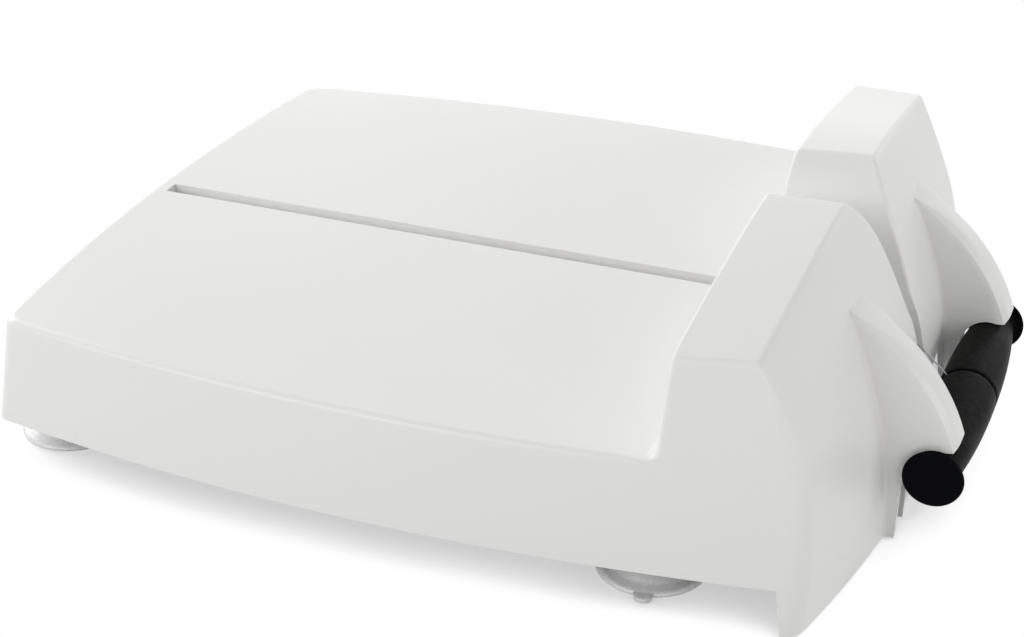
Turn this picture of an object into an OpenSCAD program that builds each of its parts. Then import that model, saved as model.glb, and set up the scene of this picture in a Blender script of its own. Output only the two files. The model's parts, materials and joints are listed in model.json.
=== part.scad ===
// Wire slicing board: a bowed white tray on four suction cups, with a crowned end wall, a notch for the
// cutting wire, two hooked fins and a black pull handle that parks under the hooks.
// Millimetres. X runs along the groove towards the handle, Z is up, the part is even about Y = 0.

/* [Tray and skirts] */
// Height of the tray's surface above the table
tray_z = 80; // [76:0.5:86]
// Height of the skirts' lower edge above the table
skirt_z = 26; // [24:0.5:30]
// Height of the end lip's lower edge above the table
lip_z = 2; // [1.5:0.5:5]
// Length of the tray from its left edge to the end wall, at the middle
tray_l = 348; // [330:1:370]
// Half width of the tray at the middle of its bowed sides
tray_hw = 188; // [180:1:196]
// Bow of the long sides over 200 mm either way
side_bow = 18; // [12:0.5:22]
// Bow of the left end over 175 mm either way
left_bow = 12; // [8:0.5:16]
// Draft of the skirts in degrees
draft = 7.5; // [5:0.25:8.5]
// Radius of the tray's upright corners at the left
corner_r = 5.5; // [4.5:0.5:10]
// Radius of the upright corners at the end wall
end_corner_r = 9.5; // [6:0.5:12]
// Rounding of the tray's upper edge
edge_r = 3; // [2:0.25:4.5]
// Thickness of the moulded walls
wall_t = 3; // [2.4:0.1:3.6]

/* [End wall] */
// Height of the crown of the end wall above the table
crown_z = 146.5; // [140:0.5:150]
// Drop of the crown from the middle to the outer ends
crown_drop = 17.5; // [12:0.5:20]
// Rise of the crown from the tray side to the end side
crown_tilt = 1.5; // [0:0.25:2.5]
// Draft of the face towards the tray in degrees
wall_draft = 4.75; // [4:0.25:8]
// Depth of the end wall at the level of the tray
wall_depth = 75.8; // [73:0.2:79]
// Slope of the upper end face in degrees from upright
end_slope = 22.3; // [20:0.1:24]
// Bulge of the upper end face at the middle
end_bulge = 4.5; // [3:0.25:5]
// Rounding of the end wall's top edges
top_r = 2.5; // [2:0.25:4]
// Half width of the notch where it opens into the groove
notch_hw = 5.4; // [5.2:0.1:6]
// Spread of the notch's flared mouth on each side
notch_flare = 12; // [8:0.5:14]

/* [Groove and wire] */
// Width of the groove in the tray
groove_w = 10; // [9:0.25:10.4]
// Depth of the groove below the tray
groove_d = 9; // [8.5:0.25:11]
// Diameter of the cutting wire
wire_d = 0.8; // [0.6:0.05:1]
// Depth of the wire below the tray's surface
wire_drop_z = 6; // [5:0.25:7]
// Radius of the guide pin at the handle end
guide_r = 4; // [3.5:0.1:4.5]
// Radius of the turning pin at the left end
turn_r = 3; // [2.5:0.1:3.5]
// Free travel of the wire when the handle is drawn
draw = 36; // [35:0.5:38]

/* [Fins] */
// Distance of each fin's middle from the middle of the part
fin_y = 69; // [67:0.2:72]
// Thickness of a fin
fin_t = 22.4; // [20:0.2:24]
// Radius of the fins' outer curve
fin_r = 104; // [102:0.2:105]
// Radius of the hollow blend at a fin's foot
fin_blend = 2.5; // [1.5:0.5:4]
// Radius of the round edges along a fin's crest
fin_round = 6.5; // [5:0.5:9]

/* [Handle] */
// Distance of the handle's axis from the tray side of the end wall
handle_off = 106.8; // [105.5:0.1:108.5]
// Height of the handle's axis above the table
handle_z = 40.5; // [39.5:0.25:41.5]
// Largest radius of the grips
grip_r = 15; // [14.5:0.1:15.6]
// Radius of the necks beside the end caps
neck_r = 9.6; // [9:0.1:10.2]
// Radius of the end caps
cap_r = 14.5; // [13.5:0.1:14.8]
// Thickness of the end caps
cap_t = 4.6; // [4.2:0.1:5.5]
// Width of the ring groove between the grips
ring_w = 1.8; // [1.4:0.1:2.4]
// Radius of the rod through the handle
rod_r = 4; // [3.5:0.1:4.5]

/* [Suction cups] */
// Radius of a cup's rim
cup_r = 27; // [24:0.5:28]
// Distance of the near cups from the middle of the part, across the tray
near_y = 142; // [134:0.5:144]
// How much nearer the middle the far cups stand than the near ones
far_in = 11; // [6:0.5:14]
// Distance from the end wall back to the near cups
cup_near = 9; // [8:0.5:30]
// Radius of the studs in the cups
stud_r = 3; // [2.5:0.1:3.5]

/* [Hidden] */
$fn = 64;

// Plan: the part is centred between the skirt's lower left edge and the far side of the grips
flare = (tray_z - 2 - skirt_z) * tan(draft);
wall_x = (tray_l + flare - handle_off - grip_r) / 2;
left_x = wall_x - tray_l;
side_mid = wall_x - 136;
handle_x = wall_x + handle_off;
wire_r = wire_d / 2;
fit = 0.03;
slide_gap = 0.2;

// Half width of the outer side at a place along X and a height
function side_y(x, z) = tray_hw - side_bow * pow((x - side_mid) / 200, 2) + (tray_z - 2 - z) * tan(draft);
// Left side at a place along Y and a height
function left_side(y, z) = left_x + left_bow * pow(y / 175, 2) - (tray_z - 2 - z) * tan(draft);

// End face: a straight slope above, easing through an arc to a steep foot
end_low = 5;
end_z1 = tray_z - 5;
end_z2 = 20;
bulge_z = handle_z;
end_x1 = wall_x + wall_depth;
end_arc = (end_z1 - end_z2) / (sin(end_slope) - sin(end_low));
end_x2 = end_x1 + end_arc * (cos(end_low) - cos(end_slope));
function end_mid(z) = z >= end_z1 ? end_x1 - (z - end_z1) * tan(end_slope)
    : z >= end_z2 ? end_x1 + end_arc * (cos(asin(sin(end_slope) - (end_z1 - z) / end_arc)) - cos(end_slope))
    : end_x2 + (end_z2 - z) * tan(end_low);
// Bulge of the upper end face: none at the handle's height or at the crown, fullest between them
function bulge(y, z) = let (f = (z - bulge_z) / (crown(y) - bulge_z)) f <= 0 || f >= 1 ? 0
    : 5.38 * pow(f, 1.5) * (1 - f) * end_bulge * (1 - 0.55 * pow(y / 168, 2));
function end_side(y, z) = end_mid(z) + bulge(y, z) - max(0.00041, 0.00074 - 0.0000041 * z) * y * y;

// Tray side of the end wall, with a small hollow fillet where it meets the tray
foot_r = 5;
function foot(z) = z <= tray_z ? foot_r : z >= tray_z + foot_r ? 0
    : foot_r - sqrt(max(0, foot_r * foot_r - pow(foot_r - (z - tray_z), 2)));
function tray_side(z) = wall_x + (z - tray_z) * tan(wall_draft) - foot(z);

// Crown of the end wall and half width of the notch
function crown(y) = crown_z - crown_drop * pow(y / 168, 2);
flare_z = crown_z - 27;
function notch(z) = notch_hw + max(0, z - tray_z) * tan(9)
    + (z > flare_z ? notch_flare * pow((z - flare_z) / 27, 2.2) : 0);

// Wire: over the guide pin, then straight down to the handle's axis
wire_z = tray_z - wire_drop_z;
guide_back = 37.8;
guide_x = handle_x - guide_back;
guide_off = guide_r + wire_r + 0.05;
guide_z = wire_z - guide_off;
reach = sqrt(pow(handle_x - guide_x, 2) + pow(handle_z - guide_z, 2));
lead_a = atan2(handle_z - guide_z, handle_x - guide_x) - asin(guide_off / reach);
lead_l = sqrt(reach * reach - guide_off * guide_off);
lead_d = [cos(lead_a), 0, sin(lead_a)];
lead_t = [guide_x - guide_off * sin(lead_a), 0, guide_z + guide_off * cos(lead_a)];
axis_p = [handle_x, 0, handle_z];
groove_x0 = left_x + 8.5;
turn_off = turn_r + wire_r + 0.05;
turn_x = groove_x0 + 10.5;
turn_z = wire_z - turn_off;
tail_x = turn_x - turn_off;

// Spring under the left end of the groove
seat_z = tray_z - 16;
coil_l = draw + 12;
coil_r = 4.6;
coil_wire = 0.55;
coil_n = 8;
stop_z = seat_z - coil_l;

// Handle along Y
end_y = fin_y + fin_t / 2;
neck_y = fin_y - fin_t / 2 - 0.4;
neck_end = end_y + 0.5;
cap_y = neck_end + 0.1;
collar_w = 4;
collar_r = 8.5;
bore_d = 8.2;
function barrel(y) = grip_r - (grip_r - neck_r) * pow(y / neck_end, 2.3);

// Cups
far_y = near_y - far_in;
cup_at = [[left_x - flare + cup_r, far_y], [wall_x - cup_near, near_y],
    [left_x - flare + cup_r, -far_y], [wall_x - cup_near, -near_y]];
boss_z = 22;
washer_t = 1.5;
head_z = 8.7;
stud_l = 31;

// Ring helpers: a rectangle with four corner radii, and a solid through a stack of rings
function turn4(k) = [[1, 1], [-1, 1], [-1, -1], [1, -1]][k % 4];
function arc_pt(a, b, r, k, f) = let (s = turn4(k))
    [s[0] * (a - r) + r * cos(90 * (k + f)), s[1] * (b - r) + r * sin(90 * (k + f))];
function ring4(a, b, r, na, ns) = [for (k = [0:3]) let (p = arc_pt(a, b, r[k], k, 1),
    q = arc_pt(a, b, r[(k + 1) % 4], (k + 1) % 4, 0)) each concat(
        [for (i = [0:na]) arc_pt(a, b, r[k], k, i / na)],
        [for (i = [1:ns[k] - 1]) p + (q - p) * i / ns[k]])];
function sides(m, n) = [for (j = [0:m - 2]) for (i = [0:n - 1]) let (i1 = (i + 1) % n)
    each [[j * n + i, (j + 1) * n + i, (j + 1) * n + i1], [j * n + i, (j + 1) * n + i1, j * n + i1]]];
function flat_cap(m, n) = [[for (i = [n - 1:-1:0]) (m - 1) * n + i]];
function strip_cap(m, n, s) = let (o = (m - 1) * n, h = n / 2) [for (i = [0:h - 1])
    let (l = o + (s + i) % n, l1 = o + (s + i + 1) % n, r = o + (s + n - i) % n, r1 = o + (s + n - i - 1) % n)
    each i == 0 ? [[l, r1, l1]] : i == h - 1 ? [[l, r, l1]] : [[l, r, r1], [l, r1, l1]]];
module stack(rings, strip = -1) {
    m = len(rings);
    n = len(rings[0]);
    polyhedron([for (r = rings) each r], concat([[for (i = [0:n - 1]) i]], sides(m, n),
        strip < 0 ? flat_cap(m, n) : strip_cap(m, n, strip)), convexity = 8);
}
function mix(a, b, f) = a + (b - a) * f;

// Plan ring of the tray body at a height: inset d all round, fading out at the end wall if held there
function body_ring(z, d, hold, na, ns) = [for (p =
    ring4(212, 172, [end_corner_r, corner_r, corner_r, end_corner_r], na, ns))
    let (s = (p[0] / 212 + 1) / 2, w = p[1] / 172,
    y0 = w * side_y(mix(left_side(0, z), end_side(0, z), s), z),
    xn = mix(left_side(y0, z), end_side(y0, z), s),
    e = d * (hold ? 1 - min(1, max(0, (xn - wall_x + 15) / 8)) : 1),
    y = w * (side_y(xn, z) - e))
    [mix(left_side(y, z) + e, end_side(y, z) - (hold ? 0 : d), s), y, z]];
module tray_body() {
    stack(concat([for (z = [lip_z, (lip_z + skirt_z) / 2, skirt_z, 40, 56, tray_z - edge_r - 6])
        body_ring(z, 0, true, 5, [22, 12, 22, 28])],
        [for (i = [0:4]) body_ring(tray_z - edge_r * (1 - sin(22.5 * i)), edge_r * (1 - cos(22.5 * i)),
            true, 5, [22, 12, 22, 28])]));
}
module tray_hollow() {
    stack([for (z = [lip_z - 1, 20, 46, tray_z - wall_t]) body_ring(z, wall_t, false, 3, [10, 8, 10, 12])]);
}

// One half of the end wall above the tray, from the notch to the outer side
tower_z0 = tray_z - 14;
function tower_z(t, top) = t < 0.2 ? mix(tower_z0, tray_z, t / 0.2) : mix(tray_z, top, (t - 0.2) / 0.8);
// Its upright corners: crisp at the crown's outer end, easing to the skirt's corner at the tray
crown_corner_r = 1;
function tower_corners(t) = let (u = max(0, t - 0.2) / 0.8, n = 3 * min(1, 0.1 + 6 * u))
    [mix(end_corner_r, crown_corner_r, u), 5, n, n];
function tower_ring(t, d, e, na, ns, skin) = [for (p = ring4(38, 84, tower_corners(t), na, ns))
    let (s = (p[1] / 84 + 1) / 2, w = (p[0] / 38 + 1) / 2, yn = mix(20, 168, s),
    z = tower_z(t, crown(yn) + crown_tilt * w - skin) - e,
    xn = mix(tray_side(z), end_side(yn, z), w),
    y = mix(notch(z) + d, side_y(xn, z) - d, s))
    [mix(tray_side(z) + d, end_side(y, z) - d, w), y, z]];
module tower() {
    ns = [6, 14, 6, 14];
    inset = 0.04;
    stack(concat([for (t = [0, 0.2, 0.215, 0.235, 0.26, 0.3, 0.4, 0.52, 0.64, 0.74, 0.82, 0.88, 0.93])
        tower_ring(t, t == 0 ? 1 : inset, 0, 6, ns, 0)],
        [for (i = [0:3]) let (a = 30 * i)
            tower_ring(1, inset + top_r * (1 - cos(a)), top_r * (1 - sin(a)), 6, ns, 0)]),
        strip = 6 + 3);
}
module tower_hollow() {
    ns = [2, 8, 2, 8];
    stack([for (t = [0, 0.25, 0.5, 0.75, 0.9, 1]) tower_ring(t, wall_t, 0, 3, ns, wall_t)], strip = 3 + 1);
}

// One fin: a nose on the outer curve, with hollow blends into the end face
fin_back = 88.45;
fin_low = 19.25;
hook_c = [handle_x - fin_back, handle_z - fin_low];
function nose(z, cut) = hook_c[0] + sqrt(max(1, pow(fin_r - cut, 2) - pow(z - hook_c[1], 2)));
function fin_half(z, sg) = let (f = end_side(fin_y, z), g = nose(z, 0) - f, h = (g + sqrt(g * g + 8)) / 2,
    hw = fin_t / 2 - 3 * pow(1 - min(1, h / 9), 2), b = min(fin_blend, 0.5 * h),
    r = min(fin_round, 0.46 * h), sink = 0.2 + 3.2 / (1 + h * h))
    concat([let (v = sg * (hw + b)) [end_side(fin_y + v, z) - 1.6, fin_y + v, z]],
        [for (i = [0:5]) let (q = 18 * i, v = sg * (hw + b - b * sin(q)))
            [end_side(fin_y + v, z) - sink + b * (1 - cos(q)), fin_y + v, z]],
        [for (i = [0:3]) let (q = 30 * i)
            [f + h - sink - r + r * sin(q), fin_y + sg * (hw - r + r * cos(q)), z]]);
function fin_ring(z) = let (a = fin_half(z, -1), b = fin_half(z, 1))
    concat(a, [for (i = [len(b) - 1:-1:0]) b[i]]);
fin_z1 = 120.5;
fin_levels = concat([lip_z, 24, 40], [for (z = [48:6:84]) z], [89, 94, 98, 102], [for (z = [105:3:114]) z],
    [for (i = [3:-1:0]) fin_z1 - 1.5 * i]);
module fin() {
    stack([for (z = fin_levels) fin_ring(z)]);
}
module fin_hollow() {
    hw = fin_t / 2 - wall_t;
    stack([for (z = [lip_z - 1, 30, 52, 62, 72, 80, 88, 95, 101])
        let (b = end_side(fin_y, z) - 8, n = nose(z, wall_t))
        [[b, fin_y - hw, z], [n, fin_y - hw, z], [n, fin_y + hw, z], [b, fin_y + hw, z]]]);
}
// Space under the hooks: leaning rib edge, round seat about the handle's neck and a blunted tip
hook_gap = barrel(neck_y) + 0.6;
rib_x = handle_x - 14.6;
rib_lean = 1.2;
module hook_space() {
    tip_z = handle_z + hook_gap + 2.9;
    rotate([90, 0, 0])
        linear_extrude(2 * end_y + 80, center = true)
            polygon(concat([[rib_x - rib_lean, lip_z - 2], [rib_x, handle_z + 1]],
                [for (a = [165:-10:75]) [handle_x + hook_gap * cos(a), handle_z + hook_gap * sin(a)]],
                [[handle_x + 7.4, handle_z + hook_gap - 0.4], [handle_x + 9.6, tip_z],
                [handle_x + 30, tip_z], [handle_x + 30, lip_z - 2]]));
}

// Where the end lip starts, below the skirts
lip_x = end_side(176, 10) - 10;

// Inner walls under the tray: groove trough, slit walls, left block, pin bosses and cup bosses
module trough() {
    x1 = wall_x + 24;
    translate([groove_x0 - 3.5, -groove_w / 2 - wall_t, tray_z - groove_d - wall_t])
        cube([x1 - groove_x0 + 3.5, groove_w + 2 * wall_t, groove_d + wall_t - 1]);
    translate([groove_x0 - 3.5, -11, seat_z + 2])
        cube([26, 22, tray_z - seat_z - 3]);
    rotate([90, 0, 0])
        linear_extrude(2 * (notch_hw + wall_t), center = true)
            polygon([[wall_x - 3, tray_z - 1], [wall_x - 3, tray_z - 14], [guide_x - 20, handle_z + 4],
                for (z = [handle_z + 2.5, 50, 60, 70, tray_z - 1]) [end_side(0, z) - 1, z]]);
    translate([guide_x, 0, guide_z])
        rotate([90, 0, 0])
            cylinder(r = guide_r + 4, h = 2 * (notch_hw + 6), center = true, $fn = 40);
    for (c = cup_at)
        translate([c[0], c[1], boss_z])
            cylinder(r = 9, h = tray_z - boss_z - 1, $fn = 40);
}
module groove() {
    w = groove_w / 2;
    translate([groove_x0, -w, tray_z - groove_d])
        cube([wall_x + 30 - groove_x0, groove_w, groove_d + 5]);
    translate([groove_x0 + 1, -w, seat_z])
        cube([15.5, groove_w, 20]);
    rotate([90, 0, 0])
        linear_extrude(2 * notch_hw, center = true)
            polygon([[wall_x + 20, tray_z + 2], [wall_x + 20, handle_z - 8],
                [end_mid(handle_z) + 12, handle_z - 8], [end_mid(handle_z) + 12, tray_z + 2]]);
}
module bay() {
    w = fin_y - fin_t / 2 - 3.5;
    translate([end_mid(30) - 22, -w, 14])
        cube([40, 2 * w, handle_z + 2.5 - 14]);
}
module both_sides() {
    children();
    mirror([0, 1, 0])
        children();
}

module moulding() {
    difference() {
        union() {
            difference() {
                union() {
                    tray_body();
                    both_sides() {
                        tower();
                        fin();
                    }
                }
                tray_hollow();
                both_sides() {
                    tower_hollow();
                    fin_hollow();
                }
            }
            trough();
        }
        rotate([90, 0, 0])
            linear_extrude(600, center = true)
                polygon([[-400, -10], [lip_x + 5, -10], [lip_x, skirt_z], [-400, skirt_z]]);
        groove();
        bay();
        hook_space();
    }
}
module base_shell() {
    color([0.93, 0.93, 0.92])
        difference() {
            resize([0, 0, 0])
                moulding();
            for (c = cup_at)
                translate([c[0], c[1], boss_z - 1])
                    cylinder(r = stud_r + fit, h = 22);
            translate([guide_x, 0, guide_z])
                rotate([90, 0, 0])
                    cylinder(r = guide_r + fit, h = 2 * (notch_hw + 4.5), center = true);
            translate([turn_x, 0, turn_z])
                rotate([90, 0, 0])
                    cylinder(r = turn_r + fit, h = 18, center = true);
        }
}

// Suction cup with a pull tab, hollow below, its stud head held in the neck
module cup(k, turn) {
    color([0.82, 0.83, 0.82, 0.8])
        translate([cup_at[k][0], cup_at[k][1], 0])
            difference() {
                union() {
                    rotate_extrude($fn = 96)
                        polygon([[0, 7], [9, 6.6], [15, 5], [20, 2.2], [cup_r - 5, 0], [cup_r - 0.8, 0],
                            [cup_r, 0.8], [cup_r, 2], [cup_r - 1, 3], [cup_r - 5, 4.2], [19, 8],
                            [14, 11.6], [10.5, 14], [9.6, 15.5], [9.2, boss_z - washer_t],
                            [0, boss_z - washer_t]]);
                    rotate(turn)
                        translate([0, -cup_r - 0.7, 0.5])
                            cylinder(r = 4.6, h = 2.4, $fn = 40);
                }
                translate([0, 0, head_z - 0.1])
                    cylinder(r = stud_r + 3 + fit, h = 3.4);
                translate([0, 0, head_z + 1])
                    cylinder(r = stud_r + fit, h = 20);
            }
}
module suction_cup_front_left() { cup(2, 90); }
module suction_cup_front_right() { cup(3, 9); }
module suction_cup_rear_left() { cup(0, 90); }
module suction_cup_rear_right() { cup(1, 171); }
module cup_studs() {
    color([0.7, 0.71, 0.72])
        for (c = cup_at)
            translate([c[0], c[1], head_z]) {
                cylinder(r = stud_r + 3, h = 3.2);
                cylinder(r = stud_r, h = stud_l);
            }
}
module cup_washers() {
    color([0.7, 0.71, 0.72])
        for (c = cup_at)
            translate([c[0], c[1], boss_z - washer_t])
                difference() {
                    cylinder(r = 9.2, h = washer_t);
                    translate([0, 0, -1])
                        cylinder(r = stud_r + 0.2, h = washer_t + 2);
                }
}

// Pins that the wire turns over
module pin(x, z, r, l) {
    color([0.75, 0.76, 0.77])
        translate([x, 0, z])
            rotate([90, 0, 0])
                cylinder(r = r, h = l, center = true);
}
module guide_pin() { pin(guide_x, guide_z, guide_r, 2 * (notch_hw + 4.4)); }
module turn_pin() { pin(turn_x, turn_z, turn_r, 17.8); }

// Round wire through points in the plane Y = 0
function wire_dir(p, i) = let (a = p[max(0, i - 1)], b = p[min(len(p) - 1, i + 1)], d = b - a) d / norm(d);
function wire_ring(c, t) = [for (k = [0:7]) let (n = [t[2], 0, -t[0]])
    c + wire_r * (n * cos(45 * k) + [0, 1, 0] * sin(45 * k))];
module wire(p) {
    color([0.72, 0.73, 0.74])
        stack([for (i = [0:len(p) - 1]) wire_ring(p[i], wire_dir(p, i))]);
}
module cutting_wire() {
    wire(concat([[tail_x, 0, seat_z + 2]],
        [for (i = [0:6]) [turn_x - turn_off * cos(15 * i), 0, turn_z + turn_off * sin(15 * i)]],
        [[mix(turn_x, guide_x, 0.5), 0, wire_z], [guide_x - 0.3, 0, wire_z]]));
}
module wire_tail() {
    color([0.72, 0.73, 0.74])
        translate([tail_x, 0, stop_z])
            cylinder(r = wire_r, h = seat_z + 2 - stop_z);
}
module wire_lead() {
    color([0.72, 0.73, 0.74])
        translate(lead_t)
            rotate([0, 90 - lead_a, 0])
                cylinder(r = wire_r, h = lead_l + rod_r - 0.5);
}

// Spring, seat, retainer and stop under the left end of the groove
module spring_seat() {
    color([0.7, 0.71, 0.72])
        difference() {
            translate([groove_x0 - 3, -9, seat_z])
                cube([24, 18, 2]);
            translate([tail_x, 0, seat_z - 1])
                cylinder(r = wire_r + slide_gap, h = 4);
        }
}
function coil_pt(i) = let (f = i / (coil_n * 14), a = 360 * coil_n * f) [tail_x + coil_r * cos(a),
    coil_r * sin(a), seat_z - coil_wire - 0.05 - (coil_l - 2 * coil_wire - 0.1) * f];
function coil_ring(i) = let (p = coil_pt(i), d = coil_pt(i + 0.5) - coil_pt(i - 0.5), t = d / norm(d),
    r = p - [tail_x, 0, p[2]], n = r / norm(r), b = cross(t, n))
    [for (k = [0:7]) p + coil_wire * (n * cos(45 * k) - b * sin(45 * k))];
coil_gap = (coil_l - 2 * coil_wire - 0.1) / coil_n - 2 * coil_wire;
echo(least_gap_between_spring_turns = coil_gap);
module tension_spring() {
    color([0.6, 0.61, 0.63])
        stack([for (i = [0:coil_n * 14]) coil_ring(i)]);
}
module spring_retainer() {
    color([0.7, 0.71, 0.72])
        translate([tail_x, 0, stop_z - 2.5])
            difference() {
                cylinder(r = 6.5, h = 2.5);
                translate([0, 0, -1])
                    cylinder(r = wire_r + slide_gap, h = 5);
            }
}
module wire_stop() {
    color([0.7, 0.71, 0.72])
        translate([tail_x, 0, stop_z - 9])
            cylinder(r = 2.5, h = 6.5);
}

// Handle pieces turn about the axis along Y; local Z is +Y
module on_axis() {
    translate(axis_p)
        rotate([-90, 0, 0])
            children();
}
module lead_bore(r, from, to) {
    translate(axis_p + from * lead_d)
        rotate([0, 90 - lead_a, 0])
            cylinder(r = r, h = to - from);
}
ferrule_r = 1.1;
module lead_ferrule() {
    color([0.12, 0.12, 0.13])
        difference() {
            lead_bore(ferrule_r, -grip_r + 1.5, -collar_r - 0.05);
            lead_bore(wire_r + slide_gap, -grip_r, 0);
        }
}
module handle_rod() {
    color([0.7, 0.71, 0.72])
        difference() {
            on_axis()
                cylinder(r = rod_r, h = 2 * (neck_end - bore_d), center = true);
            lead_bore(wire_r + slide_gap, -rod_r - 2, rod_r - 0.3);
            for (s = [0, 180])
                on_axis()
                    rotate([s, 0, 0])
                        translate([0, 0, neck_end - bore_d - 12.3])
                            cylinder(r = 2.45, h = 14);
        }
}
module wire_collar() {
    color([0.75, 0.76, 0.77])
        difference() {
            on_axis()
                difference() {
                    cylinder(r = collar_r, h = 2 * collar_w, center = true);
                    cylinder(r = rod_r + fit, h = 3 * collar_w, center = true);
                }
            lead_bore(wire_r + slide_gap, -collar_r - 2, 0);
            lead_bore(1.5, 0, collar_r + 2);
        }
}
module collar_screw() {
    color([0.3, 0.3, 0.31])
        lead_bore(1.45, rod_r + 0.1, collar_r - 0.2);
}
module grip(s) {
    color([0.06, 0.06, 0.065])
        difference() {
            on_axis()
                rotate([s, 0, 0])
                    rotate_extrude($fn = 96)
                        polygon(concat([[rod_r + fit, ring_w / 2 + 6], [rod_r + fit, collar_w + 0.1],
                            [collar_r + 0.1, collar_w + 0.1], [collar_r + 0.1, ring_w / 2],
                            [grip_r - 0.9, ring_w / 2], [grip_r - 0.25, ring_w / 2 + 0.35]],
                            [for (i = [0:16]) let (y = mix(ring_w / 2 + 1.2, neck_end, i / 16))
                                [barrel(y), y]],
                            [[7, neck_end], [7, neck_end - bore_d], [rod_r + fit, neck_end - bore_d]]));
            lead_bore(ferrule_r + fit, -grip_r + 1.3, -collar_r + 0.2);
        }
}
module handle_grip_rear() { grip(0); }
module handle_grip_front() { grip(180); }
module handle_screws() {
    color([0.7, 0.71, 0.72])
        for (s = [0, 180])
            on_axis()
                rotate([s, 0, 0])
                    translate([0, 0, neck_end - bore_d])
                        difference() {
                            union() {
                                translate([0, 0, 0.05])
                                    cylinder(r = 5, h = 3.6);
                                translate([0, 0, -11.5])
                                    cylinder(r = 2.4, h = 12);
                            }
                            translate([0, 0, 1.6])
                                cylinder(r = 2.3, h = 3, $fn = 6);
                        }
}
module cap(s) {
    rim = 1.6;
    color([0.06, 0.06, 0.065])
        on_axis()
            rotate([s, 0, 0])
                rotate_extrude($fn = 96)
                    polygon(concat([[0, neck_end - 4.2], [6.9, neck_end - 4.2], [6.9, cap_y]],
                        [for (i = [0:5]) let (a = 18 * i)
                            [neck_r + (cap_r - 0.5 - neck_r) * (1 - cos(a)), cap_y + 2.2 * sin(a)]],
                        [for (i = [0:4]) let (a = 22.5 * i)
                            [cap_r - rim + rim * cos(a), cap_y + cap_t - 0.3 - rim + rim * sin(a)]],
                        [[cap_r * 0.5, cap_y + cap_t - 0.08], [0, cap_y + cap_t]]));
}
module handle_cap_rear() { cap(0); }
module handle_cap_front() { cap(180); }

base_shell();
suction_cup_front_left();
suction_cup_front_right();
suction_cup_rear_left();
suction_cup_rear_right();
cup_studs();
cup_washers();
guide_pin();
turn_pin();
cutting_wire();
wire_tail();
tension_spring();
spring_seat();
spring_retainer();
wire_stop();
wire_lead();
lead_ferrule();
handle_rod();
wire_collar();
collar_screw();
handle_grip_front();
handle_grip_rear();
handle_screws();
handle_cap_front();
handle_cap_rear();
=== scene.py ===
"""Wire slicing board with a parked pull handle, dressed for its portrait."""
import json
from math import atan2, pi, radians

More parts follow.
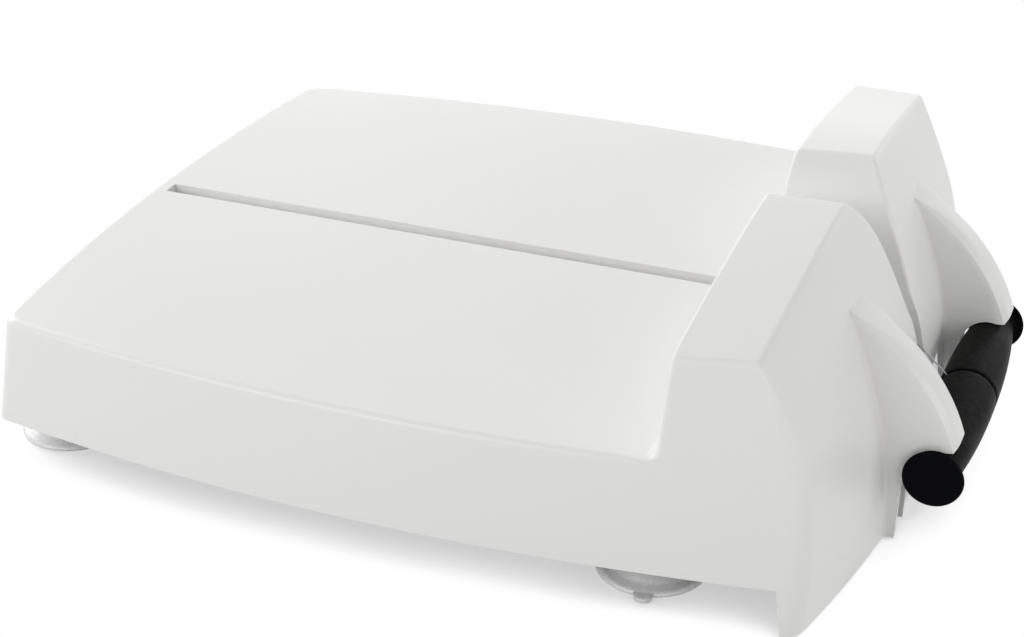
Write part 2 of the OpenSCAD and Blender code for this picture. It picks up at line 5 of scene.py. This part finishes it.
import bpy
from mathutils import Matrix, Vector


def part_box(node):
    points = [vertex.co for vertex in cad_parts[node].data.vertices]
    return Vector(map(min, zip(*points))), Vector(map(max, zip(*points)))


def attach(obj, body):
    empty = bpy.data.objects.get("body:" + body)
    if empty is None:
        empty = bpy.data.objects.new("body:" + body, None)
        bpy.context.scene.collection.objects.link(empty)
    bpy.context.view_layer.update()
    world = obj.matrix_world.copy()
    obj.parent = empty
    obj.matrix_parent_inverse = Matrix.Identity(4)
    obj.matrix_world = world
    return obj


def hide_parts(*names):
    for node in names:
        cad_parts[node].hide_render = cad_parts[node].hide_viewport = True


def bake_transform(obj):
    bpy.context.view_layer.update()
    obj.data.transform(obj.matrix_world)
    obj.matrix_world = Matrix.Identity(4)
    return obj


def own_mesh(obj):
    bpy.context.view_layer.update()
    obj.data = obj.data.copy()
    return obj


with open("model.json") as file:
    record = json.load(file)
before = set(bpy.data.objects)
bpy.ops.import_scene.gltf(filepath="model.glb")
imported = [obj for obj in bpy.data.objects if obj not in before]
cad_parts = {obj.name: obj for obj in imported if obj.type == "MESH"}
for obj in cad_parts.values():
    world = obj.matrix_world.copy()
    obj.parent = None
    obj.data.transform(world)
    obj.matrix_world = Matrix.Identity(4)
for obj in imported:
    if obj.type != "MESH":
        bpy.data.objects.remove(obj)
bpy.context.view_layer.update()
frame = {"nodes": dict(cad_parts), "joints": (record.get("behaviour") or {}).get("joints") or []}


# Base shell
# The whole board is one injection moulding in white plastic: tray, skirts, crowned end wall and
# hooked fins. Its surface is satin, with a faint grain from the mould and light rubbing on the tray.
class Signal:
    """A value running through a material's nodes. Sums on it add Math nodes."""

    def __init__(self, tree, socket=None):
        self.tree = tree
        self.socket = socket

    def add(self, kind, settings=None, inputs=None, out=0):
        """Adds a node: its settings first, then the values or links of its sockets."""
        node = self.tree.nodes.new(kind)
        for name, value in (settings or {}).items():
            setattr(node, name, value)
        for name, value in (inputs or {}).items():
            if isinstance(value, Signal):
                self.tree.links.new(value.socket, node.inputs[name])
            else:
                node.inputs[name].default_value = value
        return Signal(self.tree, node.outputs[out])

    def math(self, operation, a, b):
        return self.add("ShaderNodeMath", {"operation": operation}, {0: a, 1: b})

    def __add__(self, other):
        return self.math("ADD", self, other)

    def __radd__(self, other):
        return self.math("ADD", other, self)

    def __sub__(self, other):
        return self.math("SUBTRACT", self, other)

    def __rsub__(self, other):
        return self.math("SUBTRACT", other, self)

    def __mul__(self, other):
        return self.math("MULTIPLY", self, other)

    def __rmul__(self, other):
        return self.math("MULTIPLY", other, self)

    def __pow__(self, other):
        return self.math("POWER", self, other)

    def clear_of(self, low, high):
        """0 below low, 1 above high, eased between."""
        return self.add("ShaderNodeMapRange", {"interpolation_type": "SMOOTHSTEP"},
                        {"Value": self, "From Min": low, "From Max": high})

    def noise(self, scale, detail=2.0, rough=0.5, stretch=(1.0, 1.0, 1.0)):
        """Noise over the piece's own coordinates, at so many cells to the metre."""
        place = self.add("ShaderNodeTexCoord", out=3)
        place = self.add("ShaderNodeMapping", inputs={"Vector": place, "Scale": stretch})
        return self.add("ShaderNodeTexNoise", inputs={"Vector": place, "Scale": scale,
                                                      "Detail": detail, "Roughness": rough})

    def height(self):
        """Height above the table, in metres."""
        place = self.add("ShaderNodeTexCoord", out=3)
        return self.add("ShaderNodeSeparateXYZ", inputs={0: place}, out=2)

    def tint(self, share, colour, other):
        """Colour going over to the other as share goes from 0 to 1."""
        return self.add("ShaderNodeMix", {"data_type": "RGBA"}, {0: share, 6: colour, 7: other}, out=2)

    def bump(self, height, depth, strength=1.0):
        return self.add("ShaderNodeBump", inputs={"Height": height, "Distance": depth, "Strength": strength})

    def background_rays(self):
        """1 for a ray from the camera, a mirror or a clear piece, and 0 for light on the object."""
        camera, glossy, clear = (self.add("ShaderNodeLightPath", out=k) for k in (0, 3, 6))
        return self.math("MAXIMUM", self.math("MAXIMUM", camera, glossy), clear)


def finish(name, build, **constants):
    """A material: constants go on the shader's own sockets, and build gives the ones that vary."""
    material = bpy.data.materials.new(name)
    material.use_nodes = True
    tree = material.node_tree
    shader = tree.nodes["Principled BSDF"]
    for socket, value in constants.items():
        shader.inputs[socket.replace("_", " ")].default_value = value
    for socket, signal in build(Signal(tree)).items():
        tree.links.new(signal.socket, shader.inputs[socket])
    return material


def edit(piece):
    """Goes into edit mode on one piece alone, with all of it selected."""
    bpy.ops.object.select_all(action="DESELECT")
    bpy.context.view_layer.objects.active = piece
    piece.select_set(True)
    bpy.ops.object.mode_set(mode="EDIT")
    bpy.ops.mesh.select_all(action="SELECT")


def dress(node, material, angle):
    """A smooth-shaded copy of a node in its finish. It stands for the node, which is hidden."""
    source = frame["nodes"][node]
    piece = bpy.data.objects.new(node + "_skin", source.data.copy())
    bpy.context.scene.collection.objects.link(piece)
    edit(piece)
    bpy.ops.mesh.customdata_custom_splitnormals_clear()
    bpy.ops.mesh.remove_doubles(threshold=0.00001)
    bpy.ops.object.mode_set(mode="OBJECT")
    bpy.ops.object.shade_smooth_by_angle(angle=radians(angle))
    piece.data.materials.clear()
    piece.data.materials.append(material)
    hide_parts(node)
    return piece


def shell_looks(s):
    cloud = s.noise(7.0, 3.0)
    grain = s.noise(2600.0, 2.0, 0.6)
    ripple = s.noise(34.0, 2.0)
    rubbed = s.noise(420.0, 4.0, 0.62, (0.06, 1.0, 1.0)).clear_of(0.60, 0.74)
    on_tray = s.height().clear_of(0.0785, 0.0798) * (1 - s.height().clear_of(0.0803, 0.082))
    scuff = rubbed * on_tray
    return {
        "Base Color": s.tint(cloud * 0.5 + scuff * 0.16, (0.845, 0.842, 0.832, 1), (0.812, 0.808, 0.797, 1)),
        "Roughness": 0.36 + cloud * 0.08 + scuff * 0.10 - grain * 0.03,
        "Normal": s.bump(grain * 0.10 + ripple * 0.9, 0.00004, 0.35),
    }


white_plastic = finish("white_satin_plastic", shell_looks, Specular_IOR_Level=0.45, IOR=1.49)
shell = dress("base_shell", white_plastic, 28)
bpy.ops.object.modifier_add(type="WEIGHTED_NORMAL")
shell.modifiers[-1].keep_sharp = True
bpy.ops.object.modifier_apply(modifier=shell.modifiers[-1].name)
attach(shell, "base")


# Suction cups
# Four feet moulded in soft clear vinyl, gone a little milky. Each has a thin spreading rim, a round
# pull tab at its edge and a neck that holds the head of a stud. Its edges are softened by a fine grid.
def vinyl_looks(s):
    milk = s.noise(60.0, 3.0)
    grease = s.noise(240.0, 3.0, 0.6)
    return {
        "Base Color": s.tint(milk, (0.84, 0.845, 0.84, 1), (0.90, 0.905, 0.90, 1)),
        "Roughness": 0.27 + grease.clear_of(0.45, 0.75) * 0.12,
        "Normal": s.bump(milk, 0.0002, 0.10),
    }


vinyl = finish("milky_vinyl", vinyl_looks, Transmission_Weight=0.18, IOR=1.47, Specular_IOR_Level=0.5)
cup_grid = 0.0005
for end in ("front", "rear"):
    for side in ("left", "right"):
        cup = dress("suction_cup_%s_%s" % (end, side), vinyl, 40)
        bpy.ops.object.modifier_add(type="REMESH")
        cup.modifiers[-1].mode = "VOXEL"
        cup.modifiers[-1].voxel_size = cup_grid
        bpy.ops.object.modifier_apply(modifier=cup.modifiers[-1].name)
        bpy.ops.object.modifier_add(type="SMOOTH")
        cup.modifiers[-1].factor = 0.5
        cup.modifiers[-1].iterations = 6
        bpy.ops.object.modifier_apply(modifier=cup.modifiers[-1].name)
        bpy.ops.object.shade_smooth()
        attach(cup, "base")


# Studs and washers
# A turned steel stud stands in each cup and is pressed up into a boss under the tray. A stamped
# washer between them keeps the vinyl from being drawn into the bore.
def turned_looks(s):
    lines = s.noise(900.0, 2.0, 0.5, (1.0, 1.0, 5.0))
    smear = s.noise(120.0, 3.0)
    return {
        "Base Color": s.tint(smear, (0.60, 0.61, 0.62, 1), (0.70, 0.70, 0.70, 1)),
        "Roughness": 0.26 + lines * 0.16 + smear * 0.06,
        "Normal": s.bump(lines, 0.00003, 0.3),
    }


turned_steel = finish("turned_stainless", turned_looks, Metallic=1.0)
for node in ("cup_studs", "cup_washers"):
    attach(dress(node, turned_steel, 40), "base")


# Guide and turning pins
# Two ground steel pins pressed into moulded bores. The wire turns over them, down to the handle at
# one end and down to the spring at the other, and has polished a band round the middle of each.
def pin_looks(s):
    place = s.add("ShaderNodeTexCoord", out=3)
    across = s.add("ShaderNodeSeparateXYZ", inputs={0: place}, out=1)
    band = 1 - (across ** 2).clear_of(0.0000004, 0.0000030)
    grinding = s.noise(1500.0, 2.0, 0.5, (1.0, 6.0, 1.0))
    return {
        "Base Color": s.tint(band, (0.58, 0.59, 0.60, 1), (0.74, 0.74, 0.74, 1)),
        "Roughness": 0.30 + grinding * 0.14 - band * 0.16,
        "Normal": s.bump(grinding, 0.00002, 0.3),
    }


ground_steel = finish("ground_pin_steel", pin_looks, Metallic=1.0)
for node in ("guide_pin", "turn_pin"):
    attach(dress(node, ground_steel, 40), "base")


# Cutting wire
# One length of drawn stainless wire. It comes up from the spring, turns into the groove, runs the
# length of the tray, turns over the guide pin and goes down into the handle.
def drawn_looks(s):
    draw_lines = s.noise(2400.0, 2.0, 0.5, (0.05, 1.0, 1.0))
    return {
        "Base Color": s.tint(draw_lines, (0.27, 0.275, 0.28, 1), (0.38, 0.38, 0.385, 1)),
        "Roughness": 0.32 + draw_lines * 0.18,
        "Normal": s.bump(draw_lines, 0.00002, 0.3),
    }


drawn_wire = finish("drawn_wire", drawn_looks, Metallic=1.0)
groove_wire = dress("cutting_wire", drawn_wire, 50)
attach(groove_wire, "base")

swing, pull = (next(j for j in frame["joints"] if j["name"] == n) for n in ("handle_swing", "handle_draw"))
rise = next(j for j in frame["joints"] if j["name"] == "stop_rise")
pin_axis = Vector(swing["pos_m"])
lead_way = Vector(pull["axis"]).normalized()
wire_low, wire_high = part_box("cutting_wire")
wire_radius = wire_high.y
turn_radius = wire_high.z - wire_radius - pin_axis.z
pin_top = pin_axis + Vector((0, 0, turn_radius))
leave_angle = atan2(-lead_way.z, lead_way.x)

bpy.ops.object.select_all(action="DESELECT")
bpy.ops.mesh.primitive_circle_add(vertices=12, radius=wire_radius, fill_type="NGON", rotation=(0, pi / 2, 0),
                                  location=(wire_high.x, 0, pin_top.z))
wrap = bpy.context.active_object
wrap.name = "wire_wrap"
bpy.ops.object.transform_apply(location=True, rotation=True, scale=True)
edit(wrap)
bpy.ops.mesh.extrude_region_move(TRANSFORM_OT_translate={"value": (pin_top.x - wire_high.x, 0, 0)})
bpy.ops.mesh.spin(steps=10, angle=leave_angle, center=pin_axis, axis=(0, 1, 0))
bpy.ops.mesh.select_all(action="SELECT")
bpy.ops.mesh.remove_doubles(threshold=0.000001)
bpy.ops.mesh.normals_make_consistent(inside=False)
bpy.ops.object.mode_set(mode="OBJECT")
bpy.ops.object.shade_smooth_by_angle(angle=radians(50))
wrap.data.materials.append(drawn_wire)
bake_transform(wrap)

lead = dress("wire_lead", drawn_wire, 50)
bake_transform(lead)


# Spring and stop
# A coil of spring steel hangs round the wire's tail under the left end of the tray. A swaged stop on
# the wire draws a turned retainer up against it, so the handle is held under the hooks.
def coil_looks(s):
    oxide = s.noise(300.0, 3.0)
    return {
        "Base Color": s.tint(oxide, (0.36, 0.36, 0.38, 1), (0.56, 0.56, 0.57, 1)),
        "Roughness": 0.28 + oxide * 0.18,
        "Normal": s.bump(oxide, 0.00003, 0.3),
    }


spring_steel = finish("spring_steel", coil_looks, Metallic=1.0)
travel = rise["range_m"][1]
for node, material, slot in (("tension_spring", spring_steel, "spring"), ("wire_tail", drawn_wire, "wire")):
    held = next(d for d in rise["deforming_nodes"] if d["node"] == node)["fixed_end_z_m"]
    low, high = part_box(node)
    piece = dress(node, material, 50)
    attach(piece, "base")
    1 - travel / (held - low.z)
    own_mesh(piece)
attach(dress("spring_seat", turned_steel, 30), "base")
for node in ("spring_retainer", "wire_stop"):
    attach(dress(node, turned_steel, 40), "stop")


# Handle core
# A steel rod runs through both grips. A collar at its middle takes the wire's end, clamped by a
# blackened screw from below, and a screw in each end of the rod draws the grips together.
def blackened_looks(s):
    worn = s.noise(700.0, 3.0).clear_of(0.52, 0.72)
    return {
        "Base Color": s.tint(worn, (0.035, 0.035, 0.037, 1), (0.20, 0.20, 0.205, 1)),
        "Roughness": 0.34 + worn * 0.12,
        "Normal": s.bump(worn, 0.00002, 0.3),
    }


black_oxide = finish("black_oxide", blackened_looks, Metallic=1.0)
for node in ("handle_rod", "wire_collar", "handle_screws"):
    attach(dress(node, turned_steel, 40), "handle")
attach(dress("collar_screw", black_oxide, 40), "handle")


# Grips and wire bush
# Two mirrored barrels moulded in black plastic with a fine spark grain meet at a narrow dark ring.
# Their black has lighter speckles, partly the plastic's own tone and partly painted sheen. A small
# bush of the same plastic lines the hole where the wire goes in.
def grip_looks(s):
    grain = s.noise(1900.0, 3.0, 0.65)
    pores = s.add("ShaderNodeTexVoronoi", {"feature": "SMOOTH_F1"},
                  {"Vector": s.add("ShaderNodeTexCoord", out=3), "Scale": 2300.0})
    # The lighter speckles in the base colour are partly the plastic's own tone and partly painted sheen.
    mottle_and_sheen = s.noise(330.0, 3.0, 0.6).clear_of(0.34, 0.68)
    handled = s.noise(26.0, 3.0).clear_of(0.40, 0.70)
    return {
        "Base Color": s.tint(mottle_and_sheen * 0.75 + handled * 0.25, (0.0032, 0.0031, 0.0030, 1),
                             (0.0125, 0.0117, 0.0110, 1)),
        "Roughness": 0.40 + grain * 0.14 - handled * 0.06,
        "Normal": s.bump(grain * 0.6 + pores * 0.4, 0.00010, 0.45),
    }


black_grain_and_sheen = finish("black_spark_grain_and_sheen", grip_looks, Specular_IOR_Level=0.025, IOR=1.5)
for node in ("handle_grip_front", "handle_grip_rear", "lead_ferrule"):
    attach(dress(node, black_grain_and_sheen, 35), "handle")


# End caps
# A domed black disc plugs each end of the handle over its screw. It is smoother than the grips, with
# faint rings from turning the mould.
def cap_looks(s):
    place = s.add("ShaderNodeTexCoord", out=3)
    middle = Vector(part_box("handle_cap_front")[0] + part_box("handle_cap_front")[1]) / 2
    place = s.add("ShaderNodeMapping", inputs={"Vector": place, "Location": (-middle.x, 0, -middle.z)})
    rings = s.add("ShaderNodeTexWave", {"wave_type": "RINGS", "rings_direction": "Y"},
                  {"Vector": place, "Scale": 900.0, "Distortion": 0.4})
    haze = s.noise(90.0, 3.0)
    return {
        "Base Color": s.tint(haze, (0.0022, 0.0024, 0.0030, 1), (0.0036, 0.0039, 0.0047, 1)),
        "Roughness": 0.26 + haze * 0.10,
        "Normal": s.bump(rings * 0.3 + haze * 0.7, 0.00003, 0.3),
    }


black_satin = finish("black_satin_cap", cap_looks, Specular_IOR_Level=0.02, IOR=1.5)
for node in ("handle_cap_front", "handle_cap_rear"):
    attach(dress(node, black_satin, 35), "handle")


# Floor and backdrop
# A pale sweep under the board. The camera and clear or shiny pieces see it as plain white, with the
# board's own soft shadow left on it.
bpy.ops.object.select_all(action="DESELECT")
bpy.ops.mesh.primitive_plane_add(size=12, location=(0, 0, 0))
floor = bpy.context.active_object
floor.name = "floor"
paper = bpy.data.materials.new("white_paper")
paper.use_nodes = True
sheet = Signal(paper.node_tree)
seen = sheet.background_rays()
under_board = sheet.add("ShaderNodeAmbientOcclusion", {"samples": 24}, {"Distance": 0.16}, out=1)
open_sky = under_board.clear_of(0.22, 0.50)
matt = sheet.add("ShaderNodeBsdfDiffuse", inputs={"Color": (0.70, 0.70, 0.70, 1)})
white = sheet.add("ShaderNodeEmission", inputs={"Color": (1, 1, 1, 1), "Strength": 1.0})
mixed = sheet.add("ShaderNodeMixShader", inputs={0: seen * (0.5 + open_sky * 0.5), 1: matt, 2: white})
paper.node_tree.links.new(mixed.socket, paper.node_tree.nodes["Material Output"].inputs["Surface"])
floor.data.materials.append(paper)

world = bpy.data.worlds.new("studio")
bpy.context.scene.world = world
world.use_nodes = True
room = Signal(world.node_tree)
level = 0.35 + room.background_rays() * 0.65
backdrop = room.add("ShaderNodeBackground", inputs={"Color": (1, 1, 1, 1), "Strength": level})
world.node_tree.links.new(backdrop.socket, world.node_tree.nodes["World Output"].inputs["Surface"])


# Studio lamps
# Soft boxes all round: a broad one at the left lights the tray, one at the front left the skirts, and
# a low strip beyond the handle the end wall, so the flanks of the fins stay a little darker.
def soft_box(name, place, aim, size, watts):
    lamp = bpy.data.lights.new(name, "AREA")
    lamp.shape = "RECTANGLE"
    lamp.size, lamp.size_y = size
    lamp.energy = watts
    box = bpy.data.objects.new(name, lamp)
    box.location = place
    box.rotation_euler = (Vector(aim) - Vector(place)).to_track_quat("-Z", "Y").to_euler()
    bpy.context.scene.collection.objects.link(box)


soft_box("overhead_box", (-0.10, 0.95, 1.25), (-0.05, 0, 0.05), (1.4, 0.8), 3.4)
soft_box("front_fill", (-0.8, -1.5, 0.9), (0, 0, 0.05), (1.2, 1.0), 13.6)
soft_box("rear_glow", (0.0, 2.1, 0.55), (0, 0, 0.1), (3.0, 0.7), 8.8)
soft_box("left_box", (-1.5, 0.5, 0.85), (0, 0, 0.05), (1.0, 0.8), 11.8)
soft_box("right_fill", (1.3, -1.0, 0.5), (0.2, -0.1, 0.05), (0.8, 0.8), 3.4)
soft_box("end_fill", (1.7, 0.1, 0.35), (0.2, 0, 0.05), (1.0, 0.5), 5.2)


# Camera
# It stands in front and to the right of the board, looking down at it, as in the portrait.
view = bpy.data.cameras.new("portrait_camera")
view.lens = 73.2
view.sensor_width = 36.0
view.shift_x = 0.0195
view.shift_y = 0.0044
camera = bpy.data.objects.new("portrait_camera", view)
camera.location = (0.33935, -0.9211, 0.5507)
camera.rotation_euler = (radians(62.41), 0, radians(21.85))
bpy.context.scene.collection.objects.link(camera)
bpy.context.scene.camera = camera
bpy.context.scene.view_settings.view_transform = "Standard"
